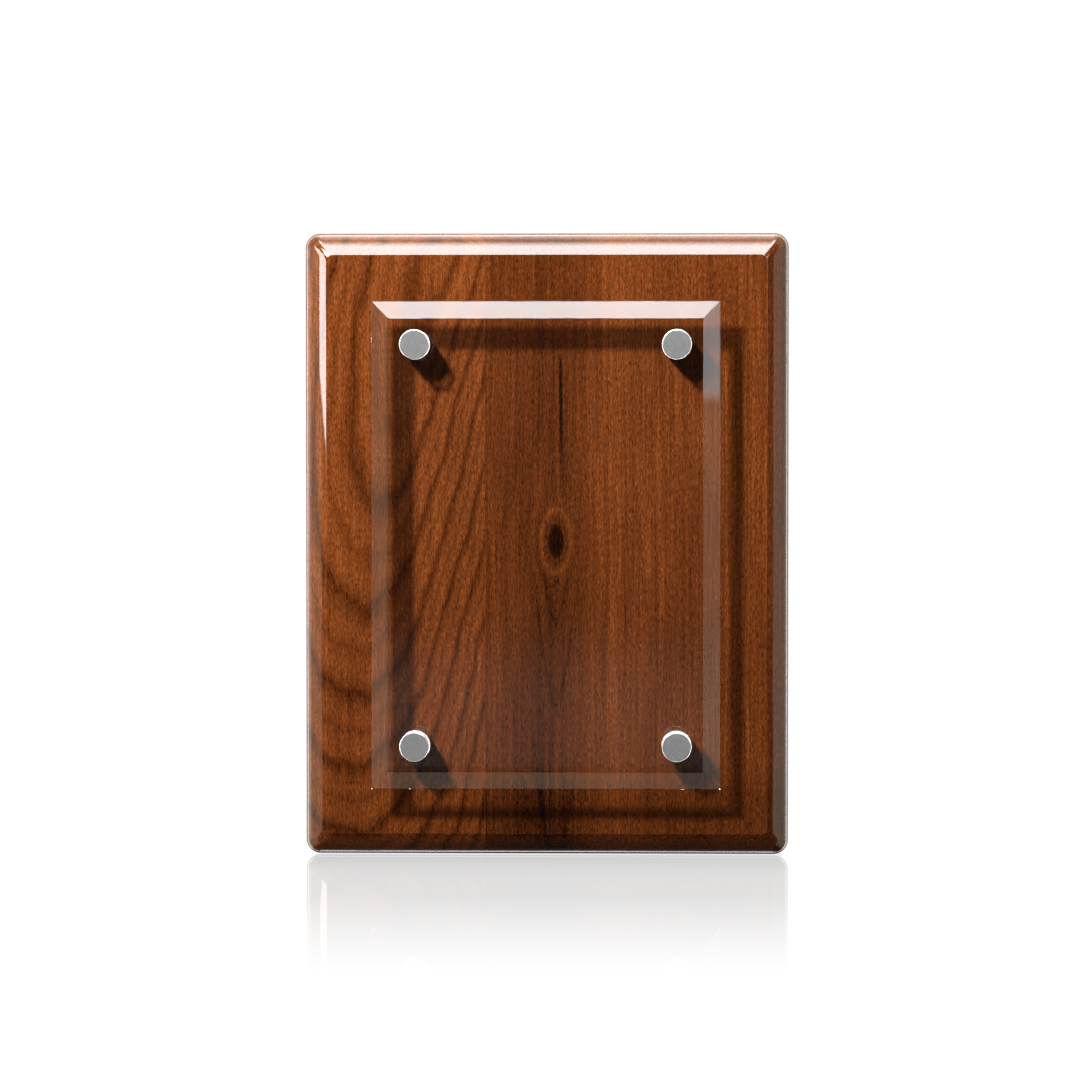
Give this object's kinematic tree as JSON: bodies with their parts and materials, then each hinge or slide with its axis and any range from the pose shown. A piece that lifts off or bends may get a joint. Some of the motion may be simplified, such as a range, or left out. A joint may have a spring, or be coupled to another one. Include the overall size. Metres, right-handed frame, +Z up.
{
  "type": "wooden plaque",
  "caption": "Award plaque: a lacquered wooden board with a moulded edge and a clear bevelled plate held off it by round metal standoffs whose caps unscrew.",
  "frame": {"origin": "middle of the bottom of the whole object's box: centred on the width and on the overall depth, at the bottom edge that the plaque stands on", "axes": "+X to the viewer's right, +Y from the front to the back, +Z up"},
  "size_m": [0.1778, 0.0424, 0.2286],
  "materials": {
    "lacquered_wood": "stained reddish-brown wood under a clear high-gloss lacquer",
    "clear_acrylic": "clear, polished on all faces",
    "satin_aluminium": "turned and satin anodised",
    "nylon": "natural translucent nylon",
    "zinc_plate": "zinc-plated pressed steel",
    "zinc_steel": "zinc-plated screw steel"
  },
  "bodies": {
    "board": {"left_stave": "lacquered_wood", "right_stave": "lacquered_wood", "clear_plate": "clear_acrylic", "barrel_top_left": "satin_aluminium", "barrel_top_right": "satin_aluminium", "barrel_bottom_left": "satin_aluminium", "barrel_bottom_right": "satin_aluminium", "barrel_screw_top_left": "zinc_steel", "barrel_screw_top_right": "zinc_steel", "barrel_screw_bottom_left": "zinc_steel", "barrel_screw_bottom_right": "zinc_steel", "rear_washer_top_left": "nylon", "rear_washer_top_right": "nylon", "rear_washer_bottom_left": "nylon", "rear_washer_bottom_right": "nylon", "keyhole_hanger": "zinc_plate", "hanger_screws": "zinc_steel"},
    "washer_top_left": {"front_washer_top_left": "nylon"},
    "cap_top_left": {"cap_top_left": "satin_aluminium"},
    "washer_top_right": {"front_washer_top_right": "nylon"},
    "cap_top_right": {"cap_top_right": "satin_aluminium"},
    "washer_bottom_left": {"front_washer_bottom_left": "nylon"},
    "cap_bottom_left": {"cap_bottom_left": "satin_aluminium"},
    "washer_bottom_right": {"front_washer_bottom_right": "nylon"},
    "cap_bottom_right": {"cap_bottom_right": "satin_aluminium"}
  },
  "joints": [
    {"name": "cap_lift_top_left", "type": "slide", "parent": "board", "child": "washer_top_left", "axis": [0, -1, 0], "range_m": [0, 0.005]},
    {"name": "cap_turn_top_left", "type": "hinge", "parent": "washer_top_left", "child": "cap_top_left", "pos_m": [-0.04763, -0.0182, 0.18732], "axis": [0, -1, 0], "range_deg": [0, 1800]},
    {"name": "cap_lift_top_right", "type": "slide", "parent": "board", "child": "washer_top_right", "axis": [0, -1, 0], "range_m": [0, 0.005]},
    {"name": "cap_turn_top_right", "type": "hinge", "parent": "washer_top_right", "child": "cap_top_right", "pos_m": [0.04763, -0.0182, 0.18732], "axis": [0, -1, 0], "range_deg": [0, 1800]},
    {"name": "cap_lift_bottom_left", "type": "slide", "parent": "board", "child": "washer_bottom_left", "axis": [0, -1, 0], "range_m": [0, 0.005]},
    {"name": "cap_turn_bottom_left", "type": "hinge", "parent": "washer_bottom_left", "child": "cap_bottom_left", "pos_m": [-0.04763, -0.0182, 0.04127], "axis": [0, -1, 0], "range_deg": [0, 1800]},
    {"name": "cap_lift_bottom_right", "type": "slide", "parent": "board", "child": "washer_bottom_right", "axis": [0, -1, 0], "range_m": [0, 0.005]},
    {"name": "cap_turn_bottom_right", "type": "hinge", "parent": "washer_bottom_right", "child": "cap_bottom_right", "pos_m": [0.04763, -0.0182, 0.04127], "axis": [0, -1, 0], "range_deg": [0, 1800]}
  ],
  "couplings": [
    {"joint": "cap_turn_top_left", "follows": "cap_lift_top_left", "rad_per_m": 6283.2},
    {"joint": "cap_turn_top_right", "follows": "cap_lift_top_right", "rad_per_m": 6283.2},
    {"joint": "cap_turn_bottom_left", "follows": "cap_lift_bottom_left", "rad_per_m": 6283.2},
    {"joint": "cap_turn_bottom_right", "follows": "cap_lift_bottom_right", "rad_per_m": 6283.2}
  ]
}
